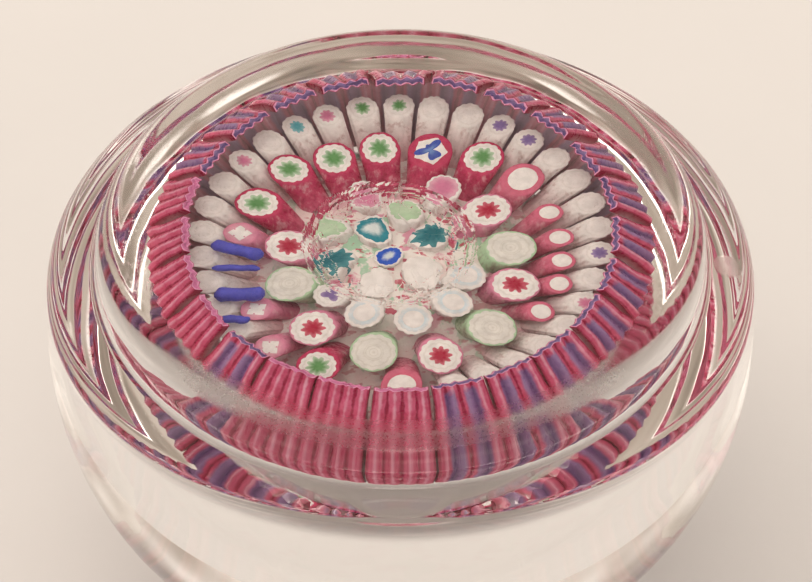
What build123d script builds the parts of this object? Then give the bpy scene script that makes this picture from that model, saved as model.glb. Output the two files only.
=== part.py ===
"""Millefiori glass paperweight, lying on its dome with its base upwards.

The axis of the weight is Z, and the crown of the dome touches the table at the origin.
Depths are measured down from the base. Every cane leans in towards one point on the axis, so its
sections at any depth are one outline shrunk towards that point.
"""

import os
from math import atan2, cos, degrees, radians, sin, sqrt, tan

from build123d import *

os.makedirs("parts", exist_ok=True)

# Clear glass, mm
rim_diameter = 80.0
dome_radius = rim_diameter / 2  # the dome is nearly a hemisphere of the rim's radius
crown_flat_diameter = 9.0  # the crown is pressed slightly flat
side_height = 5.0  # straight side between the dome and the rim
base_height = 8.8  # base above the top of the straight side
rim_fillet = 2.6
shoulder_rise = 1.8  # of the shoulder's line above the straight side, at the rim's radius
shoulder_angle = 20.0
foot_diameter = 69.0
foot_fillet = 3.0
cove_fillet = 1.2
disc_thickness = 4.0

# The set: canes and staves
dome_height = sqrt(dome_radius**2 - (crown_flat_diameter / 2) ** 2)
base_z = dome_height + side_height + base_height
apex_depth = 26.0  # where every cane would meet on the axis
face_depth = 5.5  # end faces of the canes
tail_depth = 16.5  # lower ends of the canes
cane_stretch = 1.15  # a leaning cane is cut to an oval

# Staves: radius and depth of the cut tip, of the outer bend and of the lower end
stave_count = 24
stave_path = [(24.4, 0.9), (28.0, 6.0), (18.4, 14.0)]
stave_spread = 14.2  # degrees of the 15 that each stave fills
stave_thickness = [1.3, 1.5, 1.1]
pleats = 4
pleat_height = 0.45
skin_thickness = 0.25
plain_staves = [11, 12, 13, 14, 16, 17, 18]

# Pontil scar
scar_centre = (-1.2, -1.5)
scar_radius = 10.3
scar_depth = 1.4
scar_corners = 17


def finish(name, builder):
    """Label a finished sub-part and write it."""
    builder.part.label = name
    export_step(builder.part, f"parts/{name}.step")
    print(name, len(builder.part.solids()), "solids")


# --- Outlines of canes, drawn at a spot (x, y) on the end faces and shrunk towards the axis ---


def shrink_at(depth):
    """How far a section at this depth is shrunk towards the axis."""
    return (apex_depth - depth) / (apex_depth - face_depth)


def beside(spot, outward, sideways, shrink):
    """The point that lies outward and sideways from a spot, after shrinking."""
    angle = atan2(spot[1], spot[0])
    x = spot[0] + outward * cos(angle) - sideways * sin(angle)
    y = spot[1] + outward * sin(angle) + sideways * cos(angle)
    return (x * shrink, y * shrink)


def oval(spot, radius, shrink):
    """A smooth oval, longer towards the axis."""
    turn = degrees(atan2(spot[1], spot[0]))
    with Locations(Location((spot[0] * shrink, spot[1] * shrink), turn)):
        Ellipse(radius * cane_stretch * shrink, radius * shrink)


def around(spot, radius, angle, shrink):
    """A point on the oval of this radius."""
    outward = radius * cane_stretch * cos(radians(angle))
    return beside(spot, outward, radius * sin(radians(angle)), shrink)


def scalloped(spot, radius, shrink, lobes=11):
    """A ring of round lobes, like the outline of a moulded cane."""
    step = 360 / lobes
    with BuildLine() as line:
        for lobe in range(lobes):
            ThreePointArc(
                around(spot, radius * 0.93, lobe * step, shrink),
                around(spot, radius, (lobe + 0.5) * step, shrink),
                around(spot, radius * 0.93, (lobe + 1) * step, shrink),
            )
    make_face(line.edges())


def star(spot, radius, shrink, points=8):
    """A blunt star."""
    step = 180 / points
    corners = [
        around(spot, radius * (0.66 if i % 2 else 1.0), i * step, shrink) for i in range(2 * points)
    ]
    with BuildLine() as line:
        Polyline(corners, close=True)
    make_face(line.edges())


def square(spot, radius, shrink):
    """A square with its corners on the oval."""
    with BuildLine() as line:
        Polyline([around(spot, radius, 45 + 90 * i, shrink) for i in range(4)], close=True)
    make_face(line.edges())


def four_squares(spot, radius, shrink):
    """The four openings of a lattice."""
    for i in range(4):
        middle = around(spot, radius, 45 + 90 * i, 1.0)
        square(middle, radius * 0.42, shrink)


def trefoil(spot, radius, shrink):
    """Three round leaves."""
    for i in range(3):
        x, y = around(spot, radius * 0.55, 90 + 120 * i, shrink)
        with Locations((x, y)):
            Circle(radius * 0.62 * shrink)


def rod(spot, outline, radius, start=face_depth, end=tail_depth, mode=Mode.ADD):
    """Loft an outline from one depth to another, towards the common point."""
    sections = []
    for depth in (start, end):
        with BuildSketch(Plane.XY.offset(base_z - depth)) as section:
            outline(spot, radius, shrink_at(depth))
        sections.append(section.sketch.faces())
    for pair in zip(*sections):
        loft(pair, ruled=True, mode=mode)


def cane_layer(name, spots, outer, inner=None):
    """One glass layer of all the canes of one kind, hollow where the next layer fills it."""
    with BuildPart() as layer:
        for spot in spots:
            rod(spot, *outer)
            if inner:
                rod(spot, *inner, mode=Mode.SUBTRACT)
    finish(name, layer)


# --- Where the canes stand, mm from the axis, and what they are made of ---

green_star_spots = [(-12.7, 12.5), (-7.7, 14.3), (9.4, 14.4), (-16.2, 7.2), (-2.4, 15.8), (-9.4, -18.4)]
red_star_spots = [(9.9, 6.1), (13.0, -5.7), (4.5, -16.8), (-9.9, -12.4), (-12.6, 0.4)]
pale_green_spots = [(12.6, 0.1), (-12.5, -5.5), (10.3, -12.4), (-3.1, -16.2)]
pale_blue_spots = [(-4.1, -10.2), (1.4, -11.2), (5.9, -8.5), (7.4, -4.1)]
small_oval_spots = [(17.0, 5.7), (18.1, 1.7), (18.3, -2.0), (18.0, -5.6), (15.9, -9.9)]
crescent_spots = [(13.9, 11.0), (0.2, -21.6)]
lattice_spots = [(-18.2, 2.4), (-16.3, -9.5), (-14.8, -15.6)]
blue_figure_spot = (3.5, 15.5)
mauve_figure_spot = (-7.8, -7.2)
blue_centre_spots = [(-1.3, -1.0)]
teal_centre_spots = [(-7.3, -1.4), (3.4, 2.4)]
turquoise_centre_spots = [(-3.2, 3.3)]
green_centre_spots = [(0.6, 6.4), (-7.9, 3.9)]
pink_centre_spots = [(-4.1, 8.6), (4.9, 9.6)]
white_centre_spots = [(2.6, -3.5), (-2.7, -5.4)]
centre_spots = (
    blue_centre_spots
    + teal_centre_spots
    + turquoise_centre_spots
    + green_centre_spots
    + pink_centre_spots
    + white_centre_spots
)

# The outer ring of slim white canes is broken where lattice canes, rods and large canes stand
outer_ring_radius = 22.7
outer_ring_count = 35
outer_cane_radius = 1.8
first_outer_angle = 29.0


def outer_spot(place):
    """The spot of one place in the outer ring, counted anticlockwise."""
    angle = radians(first_outer_angle + 360 / outer_ring_count * place)
    return (outer_ring_radius * cos(angle), outer_ring_radius * sin(angle))


green_outer_spots = [outer_spot(place) for place in (6, 7)]
turquoise_outer_spots = [outer_spot(9)]
pink_outer_spots = [outer_spot(place) for place in (8, 11, 30)]
mauve_outer_spots = [outer_spot(place) for place in (2, 3, 32)]
white_outer_places = [0, 1, 4, 5, 10, *range(12, 19), *range(25, 30), 31, 33, 34]
white_outer_spots = [outer_spot(place) for place in white_outer_places]
outer_spots = (
    green_outer_spots
    + turquoise_outer_spots
    + pink_outer_spots
    + mauve_outer_spots
    + white_outer_spots
)

# Blue rods lie nearly level above the end faces: (outer x, y), (inner x, y) and radius
rod_depth = 4.2
blue_rods = [
    ((-21.6, -0.2), (-15.6, -1.6), 0.85),
    ((-21.4, -3.9), (-16.0, -3.7), 0.45),
    ((-21.2, -8.2), (-15.4, -7.6), 0.95),
    ((-20.4, -11.9), (-17.0, -11.7), 0.55),
]

# --- Canes ---

cane_kinds = {
    "green_star": (green_star_spots, (oval, 2.45), (scalloped, 2.15), (star, 1.3)),
    "red_star": (red_star_spots, (oval, 2.65), (scalloped, 2.5), (star, 1.3)),
    "pale_green": (pale_green_spots, (oval, 2.75), (scalloped, 2.6), (oval, 1.2)),
    "pale_blue_ring": (pale_blue_spots, (oval, 2.2), (scalloped, 1.85), (scalloped, 1.3)),
    "blue_figure": ([blue_figure_spot], (oval, 2.6), (scalloped, 2.0), (trefoil, 1.3)),
    "small_oval": (small_oval_spots, (oval, 1.5), (oval, 1.1), (oval, 0.5)),
    "lattice": (lattice_spots, (oval, 1.8), (square, 1.6), (four_squares, 0.75)),
}
for kind, (spots, casing, jacket, core) in cane_kinds.items():
    cane_layer(f"{kind}_casings", spots, casing, jacket)
    cane_layer(f"{kind}_jackets", spots, jacket, core)
    cane_layer(f"{kind}_cores", spots, core)

cane_layer("crescent_casings", crescent_spots, (oval, 2.4), (oval, 1.75))
cane_layer("crescent_middles", crescent_spots, (oval, 1.75))
cane_layer("mauve_figure_jacket", [mauve_figure_spot], (oval, 1.95), (trefoil, 1.0))
cane_layer("mauve_figure_core", [mauve_figure_spot], (trefoil, 1.0))

outer_middle = (star, 0.85)
cane_layer("outer_ring_jackets", outer_spots, (oval, outer_cane_radius), outer_middle)
cane_layer("outer_green_stars", green_outer_spots, outer_middle)
cane_layer("outer_turquoise_star", turquoise_outer_spots, outer_middle)
cane_layer("outer_pink_stars", pink_outer_spots, outer_middle)
cane_layer("outer_mauve_stars", mauve_outer_spots, outer_middle)
cane_layer("outer_white_stars", white_outer_spots, outer_middle)

centre_casing = (oval, 2.0)
centre_middle = (scalloped, 1.75)
cane_layer("centre_casings", centre_spots, centre_casing, centre_middle)
cane_layer("centre_blue_cane", blue_centre_spots, centre_middle)
cane_layer("centre_teal_canes", teal_centre_spots, centre_middle)
cane_layer("centre_turquoise_cane", turquoise_centre_spots, centre_middle)
cane_layer("centre_green_canes", green_centre_spots, centre_middle)
cane_layer("centre_pink_canes", pink_centre_spots, centre_middle)
cane_layer("centre_white_canes", white_centre_spots, centre_middle)


def round_rod(outer, inner, radius):
    """A straight rod between two points at the rods' depth."""
    start = Vector(*outer, base_z - rod_depth)
    along = Vector(*inner, base_z - rod_depth) - start
    with BuildSketch(Plane(origin=start, z_dir=along)) as section:
        Circle(radius)
    extrude(section.sketch, amount=along.length)


with BuildPart() as rods:
    for outer_end, inner_end, rod_radius in blue_rods:
        round_rod(outer_end, inner_end, rod_radius)
finish("blue_rods", rods)

# --- Staves ---

tip, bend, tail = [Vector(radius, 0, base_z - depth) for radius, depth in stave_path]
upper_way = (bend - tip).normalized()
lower_way = (tail - bend).normalized()
stave_ways = [upper_way, (upper_way + lower_way).normalized(), lower_way]


def stave_plane(index):
    """The plane across the stave at the tip, the bend or the lower end, with Y out of the set."""
    way = stave_ways[index]
    return Plane(origin=(tip, bend, tail)[index], x_dir=(0, 1, 0), z_dir=way)


def stave_section(index, inset):
    """A pleated strip across the stave, drawn smaller by the inset all round."""
    radius = stave_path[index][0]
    half_width = radius * tan(radians(stave_spread / 2)) - inset
    half_thickness = stave_thickness[index] / 2 - inset
    outer_side = []
    for i in range(2 * pleats + 1):
        ridge = pleat_height if i % 2 else 0.0
        outer_side.append((half_width * (i / pleats - 1), half_thickness + ridge))
    back = [(half_width, -half_thickness), (-half_width, -half_thickness)]
    with BuildSketch(stave_plane(index)) as section:
        with BuildLine():
            Polyline(outer_side + back, close=True)
        make_face()
    return section.sketch.face()


def stave_core_section(index, side):
    """A flat strip inside the stave, to one side of its middle."""
    radius = stave_path[index][0]
    offset = side * radius * tan(radians(stave_spread / 2)) * 0.45
    with BuildSketch(stave_plane(index)) as section:
        with Locations((offset, 0.05)):
            Rectangle(0.35 * abs(offset) + 0.5, stave_thickness[index] - 2 * skin_thickness - 0.24)
    return section.sketch.face()


def stave_loft(section, option, mode=Mode.ADD):
    """Loft one section through the stave's three planes."""
    loft([section(index, option) for index in range(3)], ruled=True, mode=mode)


with BuildPart() as stave_envelope:
    stave_loft(stave_section, 0.0)

with BuildPart() as stave_skin:
    stave_loft(stave_section, 0.0)
    stave_loft(stave_section, skin_thickness, Mode.SUBTRACT)

with BuildPart() as plain_body:
    stave_loft(stave_section, skin_thickness)

with BuildPart() as stave_cores:
    stave_loft(stave_core_section, -1)
    stave_loft(stave_core_section, 1)

with BuildPart() as mauve_body:
    stave_loft(stave_section, skin_thickness)
    add(stave_cores.part, mode=Mode.SUBTRACT)


def stave_ring(name, stave, places):
    """Copies of one stave layer at the given places round the axis."""
    with BuildPart() as ring:
        for place in places:
            add(stave.part.rotate(Axis.Z, place * 360 / stave_count))
    if name:
        finish(name, ring)
    return ring


mauve_staves = [place for place in range(stave_count) if place not in plain_staves]
stave_ring("pink_stave_skins", stave_skin, plain_staves)
stave_ring("pink_stave_bodies", plain_body, plain_staves)
stave_ring("mauve_stave_skins", stave_skin, mauve_staves)
stave_ring("mauve_stave_bodies", mauve_body, mauve_staves)
stave_ring("mauve_stave_cores", stave_cores, mauve_staves)
all_staves = stave_ring(None, stave_envelope, range(stave_count))

# --- Pontil scar ---


def scar_outline(scale):
    """An uneven many-sided outline round the middle of the base."""
    corners = []
    for i in range(scar_corners):
        angle = radians(360 / scar_corners * i)
        radius = scar_radius * scale * (1 - 0.05 * (1 + sin(3 * angle + 0.8 * i)) / 2)
        corners.append((scar_centre[0] + radius * cos(angle), scar_centre[1] + radius * sin(angle)))
    with BuildLine() as line:
        Polyline(corners, close=True)
    make_face(line.edges())


with BuildPart() as scar_hollow:
    with BuildSketch(Plane.XY.offset(base_z - scar_depth)):
        scar_outline(1.0)
    extrude(amount=scar_depth + 1)

with BuildPart() as scar:
    for depth, scale in ((scar_depth, 1.0), (0.75, 0.97), (0.25, 0.86)):
        with BuildSketch(Plane.XY.offset(base_z - depth)):
            scar_outline(scale)
    loft(ruled=True)
finish("pontil_scar", scar)

# --- Clear glass ---

set_outline = [
    (0, 3.0),
    (22.4, 3.0),
    (23.4, 0.2),
    (25.4, 0.2),
    (29.4, 6.0),
    (28.4, 8.6),
    (19.8, 15.6),
    (14.0, 18.6),
    (0, 18.6),
]
with BuildPart() as set_region:
    with BuildSketch(Plane.XZ):
        with BuildLine():
            Polyline([(radius, base_z - depth) for radius, depth in set_outline], close=True)
        make_face()
    revolve(axis=Axis.Z)

cane_envelopes = [(spot, kind[1]) for kind in cane_kinds.values() for spot in kind[0]]
cane_envelopes += [(spot, (oval, 2.4)) for spot in crescent_spots]
cane_envelopes += [(mauve_figure_spot, (oval, 1.95))]
cane_envelopes += [(spot, (oval, outer_cane_radius)) for spot in outer_spots]
cane_envelopes += [(spot, centre_casing) for spot in centre_spots]
with BuildPart() as all_canes:
    for spot, envelope in cane_envelopes:
        rod(spot, *envelope)

with BuildPart() as set_gather:
    add(set_region.part)
    add([all_staves.part, all_canes.part, rods.part], mode=Mode.SUBTRACT)
finish("set_gather", set_gather)

rim_radius = rim_diameter / 2
foot_radius = foot_diameter / 2
side_top = dome_height + side_height
shoulder_corner = side_top + shoulder_rise
shoulder_slope = tan(radians(shoulder_angle))
cove_z = shoulder_corner + (rim_radius - foot_radius) * shoulder_slope
seam_z = base_z - disc_thickness

with BuildPart() as dome_casing:
    with BuildSketch(Plane.XZ) as dome_profile:
        with BuildLine():
            flat_angle = degrees(atan2(crown_flat_diameter / 2, dome_height))
            dome_arc = CenterArc((0, dome_height), dome_radius, flat_angle - 90, 90 - flat_angle)
            Polyline(
                dome_arc @ 1,
                (rim_radius, shoulder_corner),
                (foot_radius, cove_z),
                (foot_radius, base_z),
                (0, base_z),
                (0, 0),
                dome_arc @ 0,
            )
        make_face()
        profile_corners = dome_profile.vertices()
        fillet(profile_corners.filter_by(lambda v: abs(v.Y - shoulder_corner) < 0.01), rim_fillet)
        fillet(dome_profile.vertices().filter_by(lambda v: abs(v.Y - cove_z) < 0.01), cove_fillet)
    revolve(axis=Axis.Z)
    split(bisect_by=Plane.XY.offset(seam_z), keep=Keep.BOTTOM)
    add(set_region.part, mode=Mode.SUBTRACT)
finish("dome_casing", dome_casing)

with BuildPart() as base_disc:
    with BuildSketch(Plane.XY.offset(seam_z)):
        Circle(foot_radius)
    extrude(amount=disc_thickness)
    fillet(base_disc.edges().filter_by(GeomType.CIRCLE).sort_by(Axis.Z)[-1], foot_fillet)
    add(set_region.part, mode=Mode.SUBTRACT)
    add(scar_hollow.part, mode=Mode.SUBTRACT)
finish("base_disc", base_disc)
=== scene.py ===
"""Studio scene of the millefiori paperweight, lying on its dome with its base upwards."""

import math
import random

import bmesh
import bpy
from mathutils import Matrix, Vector, noise


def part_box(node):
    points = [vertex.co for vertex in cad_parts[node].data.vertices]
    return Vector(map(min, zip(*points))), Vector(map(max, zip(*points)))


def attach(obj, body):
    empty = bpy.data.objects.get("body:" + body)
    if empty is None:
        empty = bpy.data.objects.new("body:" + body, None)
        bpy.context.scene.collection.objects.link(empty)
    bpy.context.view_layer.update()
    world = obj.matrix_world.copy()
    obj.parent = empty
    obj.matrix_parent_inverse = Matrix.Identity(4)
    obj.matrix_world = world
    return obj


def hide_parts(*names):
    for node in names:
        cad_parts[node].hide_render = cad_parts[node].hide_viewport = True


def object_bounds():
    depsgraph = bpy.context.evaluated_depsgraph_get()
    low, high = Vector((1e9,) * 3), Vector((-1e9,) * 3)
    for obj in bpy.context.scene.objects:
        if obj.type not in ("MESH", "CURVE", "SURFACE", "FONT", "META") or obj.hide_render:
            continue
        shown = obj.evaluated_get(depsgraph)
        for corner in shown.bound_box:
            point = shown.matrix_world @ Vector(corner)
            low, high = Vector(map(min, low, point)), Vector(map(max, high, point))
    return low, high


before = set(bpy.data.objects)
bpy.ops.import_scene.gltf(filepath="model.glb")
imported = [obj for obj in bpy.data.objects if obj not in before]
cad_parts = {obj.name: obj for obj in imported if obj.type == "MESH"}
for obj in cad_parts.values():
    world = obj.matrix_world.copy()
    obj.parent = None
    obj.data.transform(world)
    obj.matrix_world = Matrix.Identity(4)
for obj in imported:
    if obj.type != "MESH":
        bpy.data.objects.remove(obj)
start_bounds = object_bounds()
noise.seed_set(11)  # noise_vector starts from the clock otherwise

MM = 0.001
PER_METRE = 1000
low, high = start_bounds
TOP = high.z
RIM = (high.x - low.x) / 2
disc_low, disc_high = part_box("base_disc")
FOOT = (disc_high.x - disc_low.x) / 2
scar_low, scar_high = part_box("pontil_scar")
SCAR = (scar_low + scar_high) / 2
SCAR_RADIUS = (scar_high.x - scar_low.x) / 2
SCAR_DEPTH = TOP - scar_low.z
APEX_DEPTH = 26 * MM  # every cane leans in towards this point on the axis


# --- Materials ---


class Nodes:
    """Short ways to build the nodes of one tree."""

    def __init__(self, tree):
        self.tree = tree

    def node(self, kind, inputs=(), **settings):
        """A new node, with its settings and its inputs by index or name."""
        made = self.tree.nodes.new(kind)
        for key, value in settings.items():
            setattr(made, key, value)
        for key, value in dict(inputs).items():
            self.plug(value, made.inputs[key])
        return made

    def plug(self, value, socket):
        """Link an output to a socket, or set a plain value on it."""
        if isinstance(value, bpy.types.NodeSocket):
            self.tree.links.new(value, socket)
        else:
            socket.default_value = value

    def vector_math(self, operation, a, b):
        return self.node("ShaderNodeVectorMath", {0: a, 1: b}, operation=operation)

    def math(self, operation, a, b=0.5, clamp=False):
        made = self.node("ShaderNodeMath", {0: a, 1: b}, operation=operation, use_clamp=clamp)
        return made.outputs[0]

    def add(self, a, b):
        return self.math("ADD", a, b)

    def product(self, first, *others):
        for other in others:
            first = self.math("MULTIPLY", first, other)
        return first

    def remap(self, value, a, b, c=0.0, d=1.0):
        """Take a..b smoothly to c..d, clamped."""
        made = self.node("ShaderNodeMapRange", {0: value, 1: a, 2: b, 3: c, 4: d})
        made.interpolation_type = "SMOOTHSTEP"
        return made.outputs[0]

    def band(self, value, rise, full, fade, end):
        """1 from full to fade, falling to 0 at rise and at end."""
        return self.product(self.remap(value, rise, full), self.remap(value, end, fade))


class Shader(Nodes):
    """A material with one Principled shader, and ways to build what feeds it."""

    def __init__(self, name):
        self.material = bpy.data.materials.new(name)
        self.material.use_nodes = True
        super().__init__(self.material.node_tree)
        self.bsdf = self.tree.nodes["Principled BSDF"]

    def set(self, **values):
        """Set inputs of the shader, underscores standing for spaces."""
        for key, value in values.items():
            self.plug(value, self.bsdf.inputs[key.replace("_", " ")])

    def attribute(self, name):
        made = self.node("ShaderNodeAttribute", attribute_name=name)
        return made.outputs["Fac"]

    def place(self, stretch=(1, 1, 1)):
        """Place on the object in millimetres, stretched."""
        coordinate = self.node("ShaderNodeTexCoord").outputs["Object"]
        return self.vector_math("MULTIPLY", coordinate, [PER_METRE * s for s in stretch]).outputs[0]

    def plan(self):
        """Place in plan and distance from the axis, in millimetres."""
        flat = self.place((1, 1, 0))
        radius = self.node("ShaderNodeVectorMath", {0: flat}, operation="LENGTH").outputs["Value"]
        return flat, radius

    def part_of(self, vector, axis):
        return self.node("ShaderNodeSeparateXYZ", {0: vector}).outputs[axis]

    def noise(self, scale, detail=3.0, stretch=(1, 1, 1), rough=0.5):
        """Noise with so many features to the millimetre."""
        made = self.node(
            "ShaderNodeTexNoise",
            {"Vector": self.place(stretch), "Scale": scale, "Detail": detail, "Roughness": rough},
        )
        return made.outputs["Fac"]

    def mix(self, factor, a, b, blend="MIX"):
        inputs = {0: factor, 6: a, 7: b}
        made = self.node("ShaderNodeMix", inputs, data_type="RGBA", blend_type=blend)
        return made.outputs[2]

    def tinted(self, colour, tint):
        """The colour times a tint."""
        return self.mix(1.0, colour, tint, "MULTIPLY")

    def bump(self, height, strength, distance):
        inputs = {"Strength": strength, "Distance": distance, "Height": height}
        made = self.node("ShaderNodeBump", inputs)
        self.plug(made.outputs[0], self.bsdf.inputs["Normal"])


WARM = (1.0, 0.88, 0.77)  # colour of the studio light
DEEPENING = 0.74  # exponent that makes up for how the glass deepens what is seen in it
BRIGHTEST = 0.95


def srgb(r, g, b):
    """Colour of cane glass from how it should look inside the weight, under the warm light.

    Light goes to and fro under the base before it leaves, which darkens and deepens every colour.
    """
    seen = [((c / 255) ** 2.2) / tint for c, tint in zip((r, g, b), WARM)]
    return tuple(min(c**DEEPENING, BRIGHTEST) for c in seen) + (1.0,)


# Radii in mm between which the base is worn and, on its near side, hazy: rise, full, fade, end
WORN_RING = (28.0, 30.0, 32.6, 34.2)
HAZE_RING = (28.6, 29.8, 33.8, 34.6)
HAZE_SIDE = (-0.40, -0.80)  # how far round to the near side the haze starts and is full, as a sine
MARK_PLACE = (36.9, 0.5, 0)  # small ground mark on the shoulder, mm
MARK_EDGE = (2.3, 1.9)
CLEAR = (0.99, 0.99, 0.985, 1)
GROUND_CLEAR = (0.95, 0.935, 0.92, 1)


def clear_glass():
    """Colourless glass, worn on the ring that it rests on the right way up and at its edges."""
    s = Shader("clear_glass")
    flat, radius = s.plan()
    height = s.part_of(s.node("ShaderNodeTexCoord").outputs["Object"], 2)
    on_base = s.remap(height, TOP - 1.2 * MM, TOP - 0.4 * MM)
    patches = s.remap(s.noise(0.14, 4.0), 0.46, 0.66)
    specks = s.remap(s.noise(3.2, 5.0, rough=0.75), 0.56, 0.7)
    scratches = s.remap(s.noise(1.6, 3.0, stretch=(3.0, 0.5, 1)), 0.62, 0.72)
    marks = s.add(s.math("MAXIMUM", specks, scratches), s.product(patches, 0.3))
    ring = s.product(s.band(radius, *WORN_RING), on_base, s.remap(patches, 0.0, 1.0, 0.35, 1.0))
    off = s.vector_math("DISTANCE", flat, MARK_PLACE).outputs["Value"]
    spot = s.remap(s.add(off, s.noise(0.8, 3.0)), *MARK_EDGE)
    spot = s.product(spot, s.remap(height, TOP - 11 * MM, TOP - 10 * MM))
    worn = s.math("MAXIMUM", s.math("MULTIPLY", ring, marks, clamp=True), spot)
    round_to_near = s.math("DIVIDE", s.part_of(flat, 1), radius)
    haze = s.product(s.remap(round_to_near, *HAZE_SIDE), on_base, s.band(radius, *HAZE_RING))
    grit = s.remap(s.noise(2.6, 5.0, rough=0.7), 0.35, 0.65, 0.24, 0.42)
    s.set(
        Base_Color=s.mix(s.math("MAXIMUM", worn, haze), CLEAR, GROUND_CLEAR),
        Transmission_Weight=1.0,
        IOR=1.52,
        Roughness=s.math("MAXIMUM", s.product(worn, 0.22), s.product(haze, grit)),
    )
    s.bump(s.product(s.noise(4.0, 4.0, rough=0.7), worn), 0.3, 0.00005)
    return s.material


def cane_glass(name, middle, edge, deep, rings=0.0, turn=(0.35, 1.0)):
    """Coloured cane glass: middle to edge across the end face, and deep towards the lower end."""
    s = Shader(name)
    rim = s.attribute("rim")
    along = s.attribute("along")
    blur = s.product(s.math("SUBTRACT", s.noise(1.3, 3.0), 0.5), 0.5)
    colour = s.mix(s.remap(s.add(rim, blur), *turn), middle, edge)
    streaks = s.noise(1.0, 4.0, stretch=(1, 1, 0.08), rough=0.65)
    depth = s.remap(s.add(along, s.product(streaks, 0.35)), 0.12, 0.85)
    colour = s.mix(depth, colour, deep)
    on_body = s.remap(along, 0.0, 0.05)
    pale = s.mix(0.35, colour, (0.95, 0.93, 0.91, 1))
    colour = s.mix(s.product(on_body, s.remap(streaks, 0.5, 0.72)), colour, pale)
    darker_body = s.tinted(colour, (0.72, 0.6, 0.6, 1))
    colour = s.mix(s.product(on_body, s.remap(streaks, 0.5, 0.3)), colour, darker_body)
    if rings:
        wave = s.math("SINE", s.product(s.add(rim, s.product(blur, 0.2)), 19.0))
        darker = s.tinted(colour, (0.84, 0.83, 0.80, 1))
        colour = s.mix(s.remap(wave, 0.3, 1.0, 0.0, rings), colour, darker)
    mottle = s.remap(s.noise(0.9, 4.0), 0.3, 0.75, 0.88, 1.04)
    tone = s.node("ShaderNodeCombineColor", {0: mottle, 1: mottle, 2: mottle}).outputs[0]
    s.set(
        Base_Color=s.tinted(colour, tone),
        Roughness=s.remap(s.noise(1.7, 2.0), 0.3, 0.7, 0.22, 0.42),
        Specular_IOR_Level=0.25,
    )
    s.bump(s.noise(2.2, 4.0, stretch=(1, 1, 0.3)), 0.35, 0.00015)
    return s.material


STAVE_PINKS = (srgb(202, 66, 98), srgb(182, 42, 74))
# painted highlight along the ridges of the pleats
STAVE_RIDGE_HIGHLIGHT = srgb(224, 134, 154)
STAVE_GROOVE = srgb(132, 10, 40)
STAVE_EDGE = srgb(140, 14, 44)
STAVE_PURPLES = (srgb(74, 52, 98), srgb(118, 90, 136))
CUT_EDGE = srgb(150, 14, 48)
CUT_PINK = srgb(232, 140, 172)
CUT_MIDDLE = srgb(206, 96, 138)


def stave_glass(name, cores):
    """Pleated pink stave with dark red folds, a painted highlight along its ridges and painted shade low
    on its outer side, and, in some, two mauve cores.
    """
    s = Shader(name)
    across = s.attribute("across")
    along = s.attribute("along")
    inside = s.attribute("inside")
    cut = s.attribute("cut")
    wobble = s.math("SUBTRACT", s.noise(1.1, 4.0, stretch=(1, 1, 0.5)), 0.5)
    folded = s.add(s.attribute("ridge"), s.product(wobble, 0.75))
    colour = s.mix(s.remap(s.noise(0.5, 3.0), 0.35, 0.7), *STAVE_PINKS)
    # Painted highlight along the ridges of the pleats
    colour = s.mix(s.remap(folded, 0.6, 1.05), colour, STAVE_RIDGE_HIGHLIGHT)
    colour = s.mix(s.remap(folded, 0.34, 0.08), colour, STAVE_GROOVE)
    middle = CUT_MIDDLE
    if cores:
        middle = s.mix(s.remap(folded, 0.1, 0.9), *STAVE_PURPLES)
        side = s.math("ABSOLUTE", s.add(across, s.product(wobble, 0.16)))
        off_centre = s.math("ABSOLUTE", s.math("SUBTRACT", side, 0.40))
        below_tip = s.remap(s.add(along, s.product(wobble, 0.12)), 0.02, 0.08)
        core = s.product(s.remap(off_centre, 0.30, 0.17), below_tip, 0.9)
        colour = s.mix(core, colour, middle)
    colour = s.mix(s.remap(s.math("ABSOLUTE", across), 0.9, 0.99), colour, STAVE_EDGE)
    faded = s.mix(0.42, colour, (0.94, 0.88, 0.87, 1))
    colour = s.mix(s.product(inside, s.remap(along, 0.03, 0.15)), colour, faded)
    lower = s.remap(s.add(along, s.product(wobble, 0.2)), 0.10, 0.34)
    shaded = s.tinted(colour, (0.88, 0.74, 0.74, 1))
    colour = s.mix(s.product(s.math("SUBTRACT", 1.0, inside), lower), colour, shaded)
    core = s.remap(s.add(cut, s.product(wobble, 0.5)), 0.45, 0.75)
    face = s.mix(core, CUT_PINK, middle)
    face = s.mix(s.remap(cut, 0.28, 0.08), face, CUT_EDGE)
    s.set(
        Base_Color=s.mix(s.remap(cut, 0.0, 0.05), colour, face),
        Roughness=s.remap(s.noise(1.6, 3.0), 0.3, 0.7, 0.22, 0.42),
        Specular_IOR_Level=0.3,
    )
    s.bump(s.noise(3.0, 4.0, stretch=(1, 1, 0.5)), 0.3, 0.00012)
    return s.material


# Smears of cane glass in the gather: how fine, how stretched, and what colour
SMEARS = [
    (0.30, (1, 1.4, 1), srgb(212, 108, 132)),
    (0.42, (1.5, 1, 1), srgb(134, 186, 140)),
    (0.75, (0.8, 1.3, 1), srgb(178, 26, 56)),
]


def ground_glass():
    """Milky glass between the canes, with smears of their colours, most of them near the axis."""
    s = Shader("milky_gather")
    _, radius = s.plan()
    near = s.remap(radius, 11.0, 8.5, 0.55, 1.0)
    tone = s.remap(s.noise(0.35, 4.0), 0.4, 0.65)
    colour = s.mix(tone, (0.93, 0.90, 0.87, 1), (0.93, 0.80, 0.79, 1))
    for scale, turn, smear in SMEARS:
        spots = s.remap(s.noise(scale, 3.0, stretch=turn), 0.56, 0.62)
        colour = s.mix(s.product(spots, near, 0.85), colour, smear)
    s.set(
        Base_Color=colour,
        Roughness=s.remap(s.noise(1.5, 3.0), 0.3, 0.7, 0.25, 0.45),
        Specular_IOR_Level=0.25,
    )
    s.bump(s.noise(1.8, 4.0), 0.4, 0.0002)
    return s.material


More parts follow.
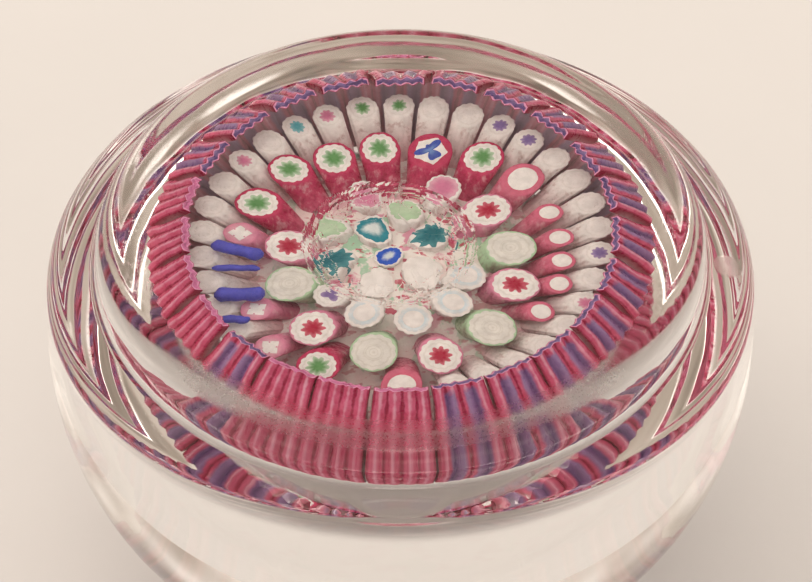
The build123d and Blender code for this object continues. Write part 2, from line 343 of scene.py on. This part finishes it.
def floor_paper():
    """Cream paper with a faint tooth. The light makes it cream."""
    s = Shader("cream_paper")
    tone = s.remap(s.noise(0.02, 3.0), 0.3, 0.7)
    s.set(
        Base_Color=s.mix(tone, (0.495, 0.495, 0.495, 1), (0.51, 0.51, 0.51, 1)),
        Roughness=s.remap(s.noise(0.3, 2.0), 0.3, 0.7, 0.85, 0.95),
    )
    s.bump(s.noise(1.5, 4.0), 0.05, 0.0001)
    return s.material


CREAM = (0.95, 0.945, 0.93, 1.0)
FACE = (0.93, 0.92, 0.90, 1.0)
SHADED = (0.93, 0.87, 0.84, 1.0)
# Painted shade: a darker copy of the cream and face colours of the white cane glass
SHADED_CREAM = (0.84, 0.845, 0.80, 1)
SHADED_FACE = (0.80, 0.81, 0.76, 1)
VEIN = (0.92, 0.56, 0.62, 1.0)
RING_BLUES = (srgb(214, 222, 226), srgb(20, 62, 176), srgb(60, 90, 186))
RING_GREENS = (srgb(222, 226, 214), srgb(24, 112, 124), srgb(90, 160, 160))
SOFT_BLUES = (srgb(92, 124, 184), srgb(44, 62, 152), srgb(52, 60, 150))

# Cane glasses: middle of the end face, its edge, and the lower end of the cane
CANE_GLASSES = {
    "white_cane": (CREAM, FACE, SHADED, 0.55),
    "plain_white_cane": (CREAM, FACE, SHADED),
    # white cane glass with painted shade, for the white layers of the pale green canes
    "shaded_white_cane": (SHADED_CREAM, SHADED_FACE, SHADED, 0.6),
    "veined_cane": (CREAM, FACE, VEIN, 0.4),
    "red_cane": (srgb(160, 20, 40), srgb(204, 84, 96), srgb(178, 36, 66)),
    "red_casing": (srgb(180, 40, 62), srgb(182, 34, 66), srgb(214, 84, 112)),
    "rose_casing": (srgb(206, 66, 90), srgb(208, 82, 104), srgb(226, 126, 142)),
    "pink_casing": (srgb(222, 150, 158), srgb(216, 110, 134), srgb(200, 64, 98)),
    "pink_cane": (srgb(206, 96, 128), srgb(226, 150, 164), srgb(206, 96, 120)),
    "green_cane": (srgb(72, 128, 62), srgb(178, 200, 158), srgb(90, 140, 84)),
    "pale_green_cane": (srgb(184, 208, 160), srgb(166, 200, 146), srgb(160, 194, 142)),
    "pale_blue_cane": (srgb(190, 216, 220), srgb(226, 222, 212), srgb(206, 210, 206)),
    "rod_blue": (srgb(44, 48, 150), srgb(62, 62, 166), srgb(58, 58, 150)),
    "soft_blue_cane": (*SOFT_BLUES, 0.0, (0.1, 0.7)),
    "turquoise_cane": (srgb(64, 150, 156), srgb(120, 182, 180), srgb(96, 150, 150)),
    "teal_cane": (srgb(20, 84, 92), srgb(54, 118, 120), srgb(60, 110, 110)),
    "blue_ring_cane": (*RING_BLUES, 0.0, (0.22, 0.62)),
    "turquoise_ring_cane": (*RING_GREENS, 0.0, (0.3, 0.75)),
    "mauve_cane": (srgb(110, 84, 140), srgb(150, 120, 160), srgb(130, 100, 140)),
}
MATERIALS = {name: cane_glass(name, *colours) for name, colours in CANE_GLASSES.items()}
GLASS = clear_glass()
GROUND = ground_glass()
PLAIN_STAVE = stave_glass("plain_stave", False)
MAUVE_STAVE = stave_glass("mauve_stave", True)


# --- Mesh helpers ---


def new_piece(name, bm, material, nodes, crease=None):
    """Turn a finished bmesh into a piece that stands for CAD nodes."""
    bmesh.ops.recalc_face_normals(bm, faces=bm.faces)
    mesh = bpy.data.meshes.new(name)
    bm.to_mesh(mesh)
    bm.free()
    mesh.materials.append(material)
    for polygon in mesh.polygons:
        polygon.use_smooth = True
    if crease:
        mesh.set_sharp_from_angle(angle=math.radians(crease))
    piece = bpy.data.objects.new(name, mesh)
    bpy.context.scene.collection.objects.link(piece)
    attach(piece, "root")
    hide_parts(*nodes)
    return piece


WARP = 0.22  # how uneven everything inside the glass is, mm
SQUEEZE = 0.99  # how wide the set is for its depth
ASKEW = 0.45  # how far off the axis the set lies, mm


def warp(point):
    """The same gentle unevenness for everything inside the glass, so that layers stay nested."""
    p = Vector(point) / MM
    coarse = noise.noise_vector(p * 0.16) * WARP
    fine = noise.noise_vector(p * 0.7 + Vector((9, 4, 2))) * WARP * 0.22
    p = Vector(point) + (coarse + fine) * MM
    return Vector((p.x * SQUEEZE, p.y + ASKEW * MM, p.z))


def tube(bm, rings, values):
    """Skin rings of points into a closed solid with fans at both ends. Values go into its layers."""
    layers = [bm.verts.layers.float.get(key) or bm.verts.layers.float.new(key) for key in values]

    def vertex(point, marks):
        made = bm.verts.new(warp(point))
        for layer, mark in zip(layers, marks):
            made[layer] = mark
        return made

    grid = []
    for index, ring in enumerate(rings):
        row = [values[key][index] for key in values]
        marks = [[v[i] if isinstance(v, list) else v for v in row] for i in range(len(ring))]
        grid.append([vertex(p, m) for p, m in zip(ring, marks)])
    count = len(rings[0])
    for upper, lower in zip(grid, grid[1:]):
        for i in range(count):
            j = (i + 1) % count
            bm.faces.new((upper[i], upper[j], lower[j], lower[i]))
    for index in (0, -1):
        verts = grid[index]
        middle = sum((Vector(p) for p in rings[index]), Vector()) / count
        row = [values[key][index] for key in values]
        centre = vertex(middle, [sum(v) / len(v) if isinstance(v, list) else v for v in row])
        for i in range(count):
            bm.faces.new((centre, verts[i], verts[(i + 1) % count]))


def turned(count):
    """So many angles, evenly round a circle."""
    return [2 * math.pi * i / count for i in range(count)]


def solids(node):
    """The points of each separate solid of a CAD node."""
    bm = bmesh.new()
    bm.from_mesh(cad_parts[node].data)
    bmesh.ops.remove_doubles(bm, verts=bm.verts, dist=1e-6)
    seen = set()
    found = []
    for start in bm.verts:
        if start in seen:
            continue
        stack, group = [start], []
        seen.add(start)
        while stack:
            v = stack.pop()
            group.append(v.co.copy())
            for e in v.link_edges:
                other = e.other_vert(v)
                if other not in seen:
                    seen.add(other)
                    stack.append(other)
        found.append(group)
    bm.free()
    return found


def mean(points):
    return sum(points, Vector()) / len(points)


def out_and_side(direction):
    """The level direction outwards from the axis, and the one across it."""
    out = Vector((direction.x, direction.y, 0)).normalized()
    return out, Vector((-out.y, out.x, 0))


def ends(node):
    """For each solid of a CAD node: middle and half width of its upper end, and its lowest height."""
    found = []
    for group in solids(node):
        top = max(p.z for p in group)
        upper = [p for p in group if p.z > top - 0.05 * MM]
        middle = mean(upper)
        side = out_and_side(middle)[1]
        width = max(abs((p - middle).dot(side)) for p in upper)
        found.append((middle, width, min(p.z for p in group)))
    return found


# --- Canes ---


def outline(shape, seed):
    """How far the outline reaches in each direction, as a share of its radius."""

    def reach(angle):
        rough = 0.035 * noise.noise(Vector((math.cos(angle) * 2, math.sin(angle) * 2, seed)))
        fine = 0.02 * noise.noise(Vector((math.cos(angle) * 9, math.sin(angle) * 9, seed)))
        if shape == "scallop":
            return 0.93 + 0.075 * abs(math.sin(angle * 6.5)) + rough
        if shape == "star":
            point = abs(math.cos(angle * 4.5)) ** 1.6
            return 0.76 + 0.24 * point + 3 * rough + 3 * fine
        if shape == "figure":
            lobes = 0.24 * math.cos(angle * 3) + 0.16 * math.cos(angle * 5 + 1.1)
            return 0.60 + lobes + 2 * rough
        if shape == "pentagon":
            turn = (angle % (2 * math.pi / 5)) - math.pi / 5
            return 0.72 / math.cos(turn) + 2 * rough + fine
        if shape == "trefoil":
            return 0.72 + 0.28 * math.cos(angle * 3) + rough
        if shape == "square":
            turn = (angle % (math.pi / 2)) - math.pi / 4
            return 0.72 / max(math.cos(turn), 0.2) + rough
        return 0.985 + rough + fine

    return reach


CANE_SIDES = 78
CANE_STEPS = 9
CANE_STRETCH = 1.12  # a leaning cane's end face is longer outwards than across
FACE_SHARES = (0.06, 0.25, 0.45, 0.65, 0.82, 0.94)
DOMING = 0.05 * MM


def cane(bm, spot, shape, radius, proud, seed, floor_z):
    """One layer of one cane: a domed end face and a body leaning in towards the axis."""
    out, side = out_and_side(spot)
    reach = outline(shape, seed)
    turn = noise.noise(Vector((seed, 3, 1))) * 2
    apex = TOP - APEX_DEPTH
    face_z = spot.z + proud

    def ring(share, z):
        shrink = (z - apex) / (spot.z - apex)
        points = []
        for angle in turned(CANE_SIDES):
            r = radius * reach(angle + turn) * share
            p = Vector((spot.x, spot.y, 0)) + out * r * CANE_STRETCH * math.cos(angle)
            p += side * r * math.sin(angle)
            points.append((p.x * shrink, p.y * shrink, z))
        return points

    rings, rim, along = [], [], []
    for share in FACE_SHARES:
        rings.append(ring(share, face_z + DOMING * (1 - share**2)))
        rim.append(share)
        along.append(0.0)
    for k in range(CANE_STEPS + 1):
        t = k / CANE_STEPS
        drop = DOMING + (face_z - DOMING - floor_z + proud) * t
        rings.append(ring(1.0, face_z - drop))
        rim.append(1.0)
        along.append(0.02 + t * 0.98)
    tube(bm, rings, {"rim": rim, "along": along})


# How much wider than its CAD node a layer is, by its node or else by its shape
NODE_SCALES = {"lattice_jackets": 1.15, "lattice_cores": 0.55}
SHAPE_SCALES = {"star": 1.13, "pentagon": 1.2, "figure": 1.3}


def cane_set(node, slot, material, shape, proud):
    """All canes' layers of one CAD node as one piece."""
    bm = bmesh.new()
    scale = NODE_SCALES.get(node, SHAPE_SCALES.get(shape, 1.0))
    for spot, radius, floor_z in ends(node):
        seed = spot.x * 900 + spot.y * 500
        cane(bm, spot, shape, radius * scale, proud * MM, seed, floor_z)
    new_piece(f"{node}_fine", bm, MATERIALS[material], [node])


# CAD node, slot, cane glass, shape, and how far its end face stands above its casing's, mm
LAYERS = [
    ("green_star_casings", "red_glass", "red_casing", "round", 0.0),
    ("green_star_jackets", "white_glass", "white_cane", "scallop", 0.03),
    ("green_star_cores", "green_glass", "green_cane", "star", 0.06),
    ("red_star_casings", "pink_glass", "pink_casing", "round", 0.0),
    ("red_star_jackets", "white_glass", "white_cane", "scallop", 0.03),
    ("red_star_cores", "red_glass", "red_cane", "star", 0.06),
    ("pale_green_casings", "pale_green_glass", "pale_green_cane", "round", 0.0),
    ("pale_green_jackets", "white_glass", "shaded_white_cane", "scallop", 0.03),
    ("pale_green_cores", "white_glass", "shaded_white_cane", "round", 0.06),
    ("pale_blue_ring_casings", "white_glass", "plain_white_cane", "scallop", 0.0),
    ("pale_blue_ring_jackets", "pale_blue_glass", "pale_blue_cane", "scallop", 0.03),
    ("pale_blue_ring_cores", "white_glass", "plain_white_cane", "round", 0.06),
    ("blue_figure_casings", "red_glass", "red_casing", "round", 0.0),
    ("blue_figure_jackets", "white_glass", "plain_white_cane", "pentagon", 0.03),
    ("blue_figure_cores", "blue_glass", "soft_blue_cane", "figure", 0.06),
    ("small_oval_casings", "red_glass", "rose_casing", "round", 0.0),
    ("small_oval_jackets", "pink_glass", "plain_white_cane", "round", 0.03),
    ("small_oval_cores", "white_glass", "plain_white_cane", "round", 0.06),
    ("lattice_casings", "pink_glass", "pink_casing", "round", 0.0),
    ("lattice_jackets", "white_glass", "plain_white_cane", "square", 0.03),
    ("crescent_casings", "red_glass", "rose_casing", "round", 0.0),
    ("crescent_middles", "white_glass", "plain_white_cane", "round", 0.03),
    ("mauve_figure_jacket", "white_glass", "white_cane", "scallop", 0.0),
    ("mauve_figure_core", "mauve_glass", "mauve_cane", "trefoil", 0.04),
    ("outer_ring_jackets", "white_glass", "veined_cane", "scallop", 0.0),
    ("outer_green_stars", "green_glass", "green_cane", "star", 0.04),
    ("outer_turquoise_star", "turquoise_glass", "turquoise_cane", "star", 0.04),
    ("outer_pink_stars", "pink_glass", "pink_cane", "star", 0.04),
    ("outer_mauve_stars", "mauve_glass", "mauve_cane", "star", 0.04),
    ("outer_white_stars", "white_glass", "plain_white_cane", "star", 0.04),
    ("centre_casings", "white_glass", "plain_white_cane", "scallop", 0.0),
    ("centre_blue_cane", "blue_glass", "blue_ring_cane", "scallop", 0.04),
    ("centre_teal_canes", "turquoise_glass", "teal_cane", "star", 0.04),
    ("centre_turquoise_cane", "turquoise_glass", "turquoise_ring_cane", "scallop", 0.04),
    ("centre_green_canes", "pale_green_glass", "pale_green_cane", "scallop", 0.04),
    ("centre_pink_canes", "pink_glass", "pink_cane", "scallop", 0.04),
    ("centre_white_canes", "white_glass", "plain_white_cane", "scallop", 0.04),
    ("lattice_cores", "pink_glass", "pink_cane", "square", 0.06),
]
for layer in LAYERS:
    cane_set(*layer)

ROD_STEPS = 26
ROD_SIDES = 28


def rods():
    """The blue rods, drawn out by hand and so uneven along their length."""
    bm = bmesh.new()
    for group in solids("blue_rods"):
        left = [p for p in group if p.x < sum(q.x for q in group) / len(group)]
        right = [p for p in group if p not in left]
        a, b = mean(left), mean(right)
        radius = max(abs(p.z - a.z) for p in left)
        way = (b - a).normalized()
        side = way.cross(Vector((0, 0, 1))).normalized()
        up = side.cross(way)
        rings = []
        for k in range(ROD_STEPS + 1):
            t = k / ROD_STEPS
            end = min(1.0, 0.35 + 7 * min(t, 1 - t))
            uneven = 1 + 0.22 * noise.noise(Vector((t * 4, a.y * 900, 2)))
            r = radius * end * uneven
            drift = 0.3 * MM * noise.noise(Vector((t * 3, a.y * 700, 7)))
            middle = a.lerp(b, t) + side * drift
            rings.append(
                [middle + side * r * math.cos(n) + up * r * math.sin(n) for n in turned(ROD_SIDES)]
            )
        tube(bm, rings, {"rim": [1.0] * len(rings), "along": [0.0] * len(rings)})
    new_piece("blue_rods_fine", bm, MATERIALS["rod_blue"], ["blue_rods"])


rods()


# --- Staves ---

STAVE_COUNT = 24
STAVE_PATH = [(24.4, 0.9), (28.0, 6.0), (20.6, 12.4)]  # radius and depth at tip, bend and foot, mm
STAVE_THICKNESS = [1.3, 1.5, 1.1]
STAVE_BEND = 0.36  # where on its way from tip to foot a stave bends
STAVE_LEAN = 4.6  # how much further out the nearest staves' lower ends are
STAVE_POINTS = 48
STAVE_STEPS = 34
HEAD_ANGLE = 6.45  # half of what the head of a stave takes up round the axis, degrees
HEAD_NEAR = 0.9  # and how much more than that nearest the camera's side
BODY_ANGLE = 7.65
SHOULDER = 0.22  # where a stave starts to widen below its head, and over how much of its way
WIDENING = 0.14
PLEATS = 4
PLEAT_DEPTH = 0.46
PLAIN_PLACES = [11, 12, 13, 14, 16, 17, 18]
MAUVE_PLACES = [p for p in range(STAVE_COUNT) if p not in PLAIN_PLACES]


def nearness(direction):
    """How far round towards the near side, 0 to 1."""
    return max(0.0, -direction) ** 0.7


def stave_path(t, lean):
    """Radius, depth, thickness and outward normal at t, from the cut tip (0) to the foot (1)."""
    (r0, d0), (r1, d1), (r2, d2) = STAVE_PATH
    th0, th1, th2 = STAVE_THICKNESS
    r2 += lean
    upper = Vector((d1 - d0, r1 - r0)).normalized()
    lower = Vector((d2 - d1, r2 - r1)).normalized()
    s = min(max((t - STAVE_BEND + 0.09) / 0.18, 0), 1)
    normal = upper.lerp(lower, s * s * (3 - 2 * s)).normalized()
    if t < STAVE_BEND:
        u = t / STAVE_BEND
        return r0 + (r1 - r0) * u, d0 + (d1 - d0) * u, th0 * (1 - u) + th1 * u, normal
    u = (t - STAVE_BEND) / (1 - STAVE_BEND)
    return r1 + (r2 - r1) * u, d1 + (d2 - d1) * u, th1 * (1 - u) + th2 * u, normal


def stave(bm, place, jitter):
    """One stave: a pleated ribbon of glass, bent over outside the canes, its cut end upwards."""
    turn = 2 * math.pi * place / STAVE_COUNT + jitter.uniform(-0.006, 0.006)
    width_scale = jitter.uniform(0.96, 1.02)
    lift = jitter.uniform(-0.3, 0.15)
    phase = jitter.uniform(-0.3, 0.3)
    out = Vector((math.cos(turn), math.sin(turn), 0))
    side = Vector((-out.y, out.x, 0))
    head = HEAD_ANGLE + HEAD_NEAR * max(0.0, -out.y)
    last = 2 * STAVE_POINTS + 1
    rings = []
    values = {"along": [], "across": [], "ridge": [], "inside": [], "cut": []}
    for k in range(-1, STAVE_STEPS + 1):  # -1 is the narrower ring that rounds the cut end
        cap = k < 0
        t = max(k, 0) / STAVE_STEPS
        r, depth, thick, normal = stave_path(t, STAVE_LEAN * nearness(out.y))
        spread = head + (BODY_ANGLE - head) * min(1.0, max(0.0, t - SHOULDER) / WIDENING)
        half = r * math.tan(math.radians(spread)) * width_scale * (0.88 if cap else 1.0)
        skin = 0.425 * thick * (0.22 if cap else 1.0)
        tip = max(0.0, 1 - t / 0.12)
        ring, marks = [], []
        for i in range(last + 1):
            front = i <= STAVE_POINTS
            x = 2 * (i if front else last - i) / STAVE_POINTS - 1
            fold = 1 - abs(((x + 1) / 2 * PLEATS + phase * 0.15) % 1 * 2 - 1)
            bent = PLEAT_DEPTH * fold * (1.0 if front else 0.9)
            bent += 0.06 * noise.noise(Vector((x * 3, t * 5, place * 7)))
            ragged = tip * 0.3 * noise.noise(Vector((x * 6, place * 3, 1)))
            n = (skin if front else -skin) + bent - 0.1
            rr = r + lift * 0.4 + ragged * 0.58 + normal.x * n
            z = -(depth - lift + ragged * 0.8) + normal.y * n
            ring.append(out * rr * MM + side * half * x * MM + Vector((0, 0, TOP + z * MM)))
            marks.append((x, fold, 0.0 if front else 1.0))
        rings.append(ring)
        values["along"].append(t)
        values["cut"].append(1.0 if cap else 0.0)
        for key, column in zip(("across", "ridge", "inside"), zip(*marks)):
            values[key].append(list(column))
    tube(bm, rings, values)


def staves(name, places, material, nodes):
    bm = bmesh.new()
    for place in places:
        stave(bm, place, random.Random(100 + place))
    new_piece(name, bm, material, nodes, crease=22)


PLAIN_NODES = ["pink_stave_skins", "pink_stave_bodies"]
MAUVE_NODES = ["mauve_stave_skins", "mauve_stave_bodies", "mauve_stave_cores"]
staves("plain_staves_fine", PLAIN_PLACES, PLAIN_STAVE, PLAIN_NODES)
staves("mauve_staves_fine", MAUVE_PLACES, MAUVE_STAVE, MAUVE_NODES)


# --- Clear glass ---

CROWN_FLAT = 4.5  # radius of the flat on the crown, mm, as the sizes below are
SIDE_HEIGHT = 5.0
BASE_HEIGHT = 8.8
SHOULDER_SLOPE = math.tan(math.radians(20))
RIM_FILLET = 2.6
COVE_FILLET = 1.2
FOOT_FILLET = 3.0
BODY_SIDES = 420
DOME_STEPS = 90
SCAR_REACH = 14  # the base is flat outside this radius, mm
SCAR_BAND = 2.1  # how far inside the scar's edge it is roughest, mm
BAND_WIDTH = 1.3
ROUGH_WIDTH = 3.4  # how wide the band of sharp broken faces is, and where it is looked for, mm
SCAR_TALLEST = 2.5
SCAR_WIDEST = 13.5
GROOVE = 0.95  # how far inside its edge the fine round groove is, mm
GROOVE_WIDTH = 0.14


def rounded(corners, step=0.14):
    """Points along a line of (radius, height, fillet) corners, with round corners, in mm."""
    points = [Vector(corners[0][:2])]
    for before, corner, after in zip(corners, corners[1:], corners[2:]):
        p = Vector(corner[:2])
        fillet = corner[2]
        if fillet <= 0:
            points.append(p)
            continue
        a = (Vector(before[:2]) - p).normalized()
        b = (Vector(after[:2]) - p).normalized()
        half = math.acos(max(-1, min(1, a.dot(b)))) / 2
        centre = p + (a + b).normalized() * fillet / math.sin(half)
        first = p + a * fillet / math.tan(half) - centre
        last = p + b * fillet / math.tan(half) - centre
        sweep = first.angle(last)
        count = max(4, int(fillet * sweep / step))
        for k in range(count + 1):
            u = k / count
            w0 = math.sin((1 - u) * sweep) / math.sin(sweep)
            w1 = math.sin(u * sweep) / math.sin(sweep)
            points.append(centre + first * w0 + last * w1)
    points.append(Vector(corners[-1][:2]))
    return points


def facets(x, y, scale, amount, seed):
    """Height of broken glass: tilted planes that meet in sharp ridges."""
    p = Vector((x / scale, y / scale, seed))
    nearest = noise.voronoi(p)[1][0]
    tilt = noise.cell_vector(nearest * 7.3)
    away = p - nearest
    return amount * (0.5 * tilt.z + 0.9 * (tilt.x * away.x + tilt.y * away.y))


def bell(x, middle, width):
    return math.exp(-(((x - middle) / width) ** 2))


def scar_height(x, y):
    """Height of the pontil scar from the base, and how far a point is inside its edge, mm."""
    dx, dy = x - SCAR.x / MM, y - SCAR.y / MM
    angle = math.atan2(dy, dx)
    ragged = noise.noise(Vector((math.cos(angle) * 2.2, math.sin(angle) * 2.2, 5)))
    ragged += 0.4 * noise.noise(Vector((math.cos(angle) * 7, math.sin(angle) * 7, 8)))
    inside = SCAR_RADIUS / MM * (0.97 + 0.045 * ragged) - math.hypot(dx, dy)
    if inside < 0:
        return 0.0, inside
    band = bell(inside, SCAR_BAND, BAND_WIDTH)
    wall = min(inside / 0.22, 1.0)
    drop = 0.42 + 0.25 * band + 0.16 * bell(inside, GROOVE, GROOVE_WIDTH)
    rough = facets(x, y, 4.6, 0.16, 1.0) + facets(x, y, 1.3, 0.02 + 0.3 * band, 4.0)
    swell = 0.45 * noise.noise(Vector((x * 0.24, y * 0.24, 3)))
    height = -wall * drop + min(inside / 0.9, 1.0) * (rough * (0.3 + 0.8 * band) + swell)
    return max(min(height, -0.02), -SCAR_DEPTH / MM), inside


def glass_profile():
    """Radius and height of the outside, from the crown of the dome to the axis of the base, mm."""
    rim, foot, top = RIM / MM, FOOT / MM, TOP / MM
    dome = top - BASE_HEIGHT - SIDE_HEIGHT
    shoulder = dome + SIDE_HEIGHT + 1.8
    cove = shoulder + (rim - foot) * SHOULDER_SLOPE
    profile = [Vector((CROWN_FLAT * share, 0)) for share in (0.3, 0.6, 0.85)]
    first_angle = math.atan2(CROWN_FLAT, dome)
    for k in range(DOME_STEPS + 1):
        a = first_angle + (math.pi / 2 - first_angle) * k / DOME_STEPS
        profile.append(Vector((rim * math.sin(a), dome - rim * math.cos(a))))
    corners = [
        (rim, dome + 0.4, 0),
        (rim, shoulder, RIM_FILLET),
        (foot, cove, COVE_FILLET),
        (foot, top, FOOT_FILLET),
        (24.0, top, 0),
    ]
    profile += rounded(corners)
    r = 23.6
    while r > 0.3:
        profile.append(Vector((r, top)))
        r -= 0.5 if r > 13 else 0.15
    return profile


def glass_body():
    """The whole outer surface of the clear glass, with the broken pontil scar in the base."""
    top = TOP / MM
    bm = bmesh.new()
    first = bm.verts.new((0, 0, 0))
    rows = []
    for point in glass_profile():
        row = []
        for a in turned(BODY_SIDES):
            x, y, z = point.x * math.cos(a), point.x * math.sin(a), point.y
            if z > top - 0.001 and point.x < SCAR_REACH:
                z += scar_height(x, y)[0]
            else:
                wave = noise.noise(Vector((x, y, z)) * 0.09) * 0.05
                wave += noise.noise(Vector((x, y, z)) * 0.3) * 0.008
                fade = min(1.0, z / 6.0)
                x += wave * fade * math.cos(a)
                y += wave * fade * math.sin(a)
            row.append(bm.verts.new((x * MM, y * MM, z * MM)))
        rows.append(row)
    last = bm.verts.new((0, 0, (top + scar_height(0, 0)[0]) * MM))
    for i in range(BODY_SIDES):
        j = (i + 1) % BODY_SIDES
        bm.faces.new((first, rows[0][j], rows[0][i]))
        bm.faces.new((last, rows[-1][i], rows[-1][j]))
    for lower, upper in zip(rows, rows[1:]):
        for i in range(BODY_SIDES):
            j = (i + 1) % BODY_SIDES
            bm.faces.new((lower[i], lower[j], upper[j], upper[i]))
    nodes = ["dome_casing", "base_disc", "pontil_scar"]
    piece = new_piece("glass_body_fine", bm, GLASS, nodes)
    for polygon in piece.data.polygons:
        c = polygon.center / MM
        in_scar = c.z > top - SCAR_TALLEST and math.hypot(c.x, c.y) < SCAR_WIDEST
        if in_scar and -0.1 < scar_height(c.x, c.y)[1] < ROUGH_WIDTH:
            polygon.use_smooth = False


glass_body()

# Radius and depth down the outside of the gather, mm, and how much further out its near side is
GATHER_OUTLINE = [
    (3.0, 6.7),
    (6.0, 6.8),
    (8.4, 7.2),
    (10.2, 8.4),
    (12.5, 9.6),
    (16.0, 10.0),
    (18.5, 10.8),
    (19.6, 12.2),
    (18.4, 13.8),
    (15.0, 15.4),
    (10.0, 16.2),
    (5.0, 16.4),
]
GATHER_WIDEST = 19.6
GATHER_LEAN = 4.0
GATHER_SIDES = 160


def gather():
    """The milky glass that the canes were picked up on, filling the gaps below their end faces."""
    rings = []
    for radius, depth in GATHER_OUTLINE:
        ring = []
        for a in turned(GATHER_SIDES):
            r = radius + GATHER_LEAN * nearness(math.sin(a)) * (radius / GATHER_WIDEST) ** 6
            x, y = r * math.cos(a), r * math.sin(a)
            z = -depth + 0.35 * noise.noise(Vector((x, y, depth)) * 0.45)
            ring.append((x * MM, y * MM, TOP + z * MM))
        rings.append(ring)
    bm = bmesh.new()
    tube(bm, rings, {"rim": [0.5] * len(rings), "along": [0.0] * len(rings)})
    new_piece("set_gather_fine", bm, GROUND, ["set_gather"])


gather()


# --- Stage, light and camera ---

FLOOR_RADIUS = 6.0  # metres
FLOOR_GAP = 0.15 * MM


def stage_floor():
    """A wide sheet of cream paper."""
    bm = bmesh.new()
    bmesh.ops.create_circle(bm, cap_ends=True, segments=96, radius=FLOOR_RADIUS)
    mesh = bpy.data.meshes.new("floor")
    bm.to_mesh(mesh)
    bm.free()
    mesh.materials.append(floor_paper())
    made = bpy.data.objects.new("floor", mesh)
    made.location = (0, 0, low.z - FLOOR_GAP)
    bpy.context.scene.collection.objects.link(made)


# Soft bright panels: direction, cosines where the edge starts and ends, and how much brighter
PANELS = [
    ((0.02, -0.53, 0.85), 0.980, 0.996, 2.8),
    ((-0.59, 0.22, 0.78), 0.975, 0.996, 0.8),
    ((-0.75, -0.16, 0.64), 0.980, 0.997, 0.7),
    ((0.60, 0.20, 0.78), 0.975, 0.996, 0.7),
]
KEY = (-0.50, 0.30, 0.80)  # direction of the key light, and how bright it and the fill are
KEY_LIGHT = 1.25
SOFT_LIGHT = 1.0
HORIZON = 1.08  # brightness of the room low down and overhead, and how much of it there is behind
ZENITH = 0.38
BEHIND = 0.68
BROWN = (1.0, 0.78, 0.60)  # colour of the room where it is dim
EXPOSURE = 1.3


def surroundings():
    """A plain room with soft panels, as the glass shows it, and the soft light that falls on the rest."""
    world = bpy.data.worlds.new("tent")
    bpy.context.scene.world = world
    world.use_nodes = True
    n = Nodes(world.node_tree)
    way = n.node("ShaderNodeTexCoord").outputs["Generated"]

    def towards(direction, start, stop, power):
        """Brightness that grows to power within the cosines start to stop of a direction."""
        cosine = n.vector_math("DOT_PRODUCT", way, Vector(direction).normalized()).outputs["Value"]
        return n.remap(cosine, start, stop, 0.0, power)

    split = n.node("ShaderNodeSeparateXYZ", {0: way}).outputs
    clouds = n.node("ShaderNodeTexNoise", {"Vector": way, "Scale": 2.2}).outputs["Fac"]
    room = n.product(
        n.remap(split[2], 0.15, 0.45, HORIZON, ZENITH),
        n.remap(split[1], 0.25, 0.5, 1.0, BEHIND),
        n.remap(clouds, 0.35, 0.65, 0.55, 1.25),
    )
    for panel in PANELS:
        room = n.add(room, towards(*panel))
    soft = n.add(towards(KEY, 0.6, 0.95, KEY_LIGHT), SOFT_LIGHT)
    bounced = n.math("MINIMUM", n.node("ShaderNodeLightPath").outputs["Diffuse Depth"], 1.0)
    brightness = n.node("ShaderNodeMix", {0: bounced, 2: room, 3: soft}).outputs[0]
    warmth = n.remap(brightness, 0.2, 0.9)
    shade = n.node("ShaderNodeMix", {0: warmth, 4: BROWN, 5: WARM}, data_type="VECTOR")
    inputs = {0: shade.outputs[1], "Scale": brightness}
    tint = n.node("ShaderNodeVectorMath", inputs, operation="SCALE")
    background = world.node_tree.nodes["Background"]
    n.plug(tint.outputs[0], background.inputs["Color"])
    n.plug(EXPOSURE, background.inputs["Strength"])


stage_floor()
surroundings()

ELEVATION = math.radians(45.5)
DISTANCE = 2.0
VIEW_WIDTH = 2.294 * RIM
TARGET = Vector((0.62 * MM, 0, TOP - 9.28 * MM))
SENSOR = 36.0
camera = bpy.data.cameras.new("camera")
camera.sensor_width = SENSOR
camera.lens = SENSOR * DISTANCE / VIEW_WIDTH
camera.clip_start = 0.01
camera.clip_end = 30.0
camera_object = bpy.data.objects.new("camera", camera)
away = Vector((0, -math.cos(ELEVATION), math.sin(ELEVATION)))
camera_object.location = TARGET + away * DISTANCE
camera_object.rotation_euler = (math.pi / 2 - ELEVATION, 0, 0)
bpy.context.scene.collection.objects.link(camera_object)

scene = bpy.context.scene
bpy.context.scene.camera = camera_object
scene.view_settings.view_transform = "Standard"
scene.view_settings.look = "None"
scene.cycles.max_bounces = 32
scene.cycles.transmission_bounces = 32
scene.cycles.glossy_bounces = 10
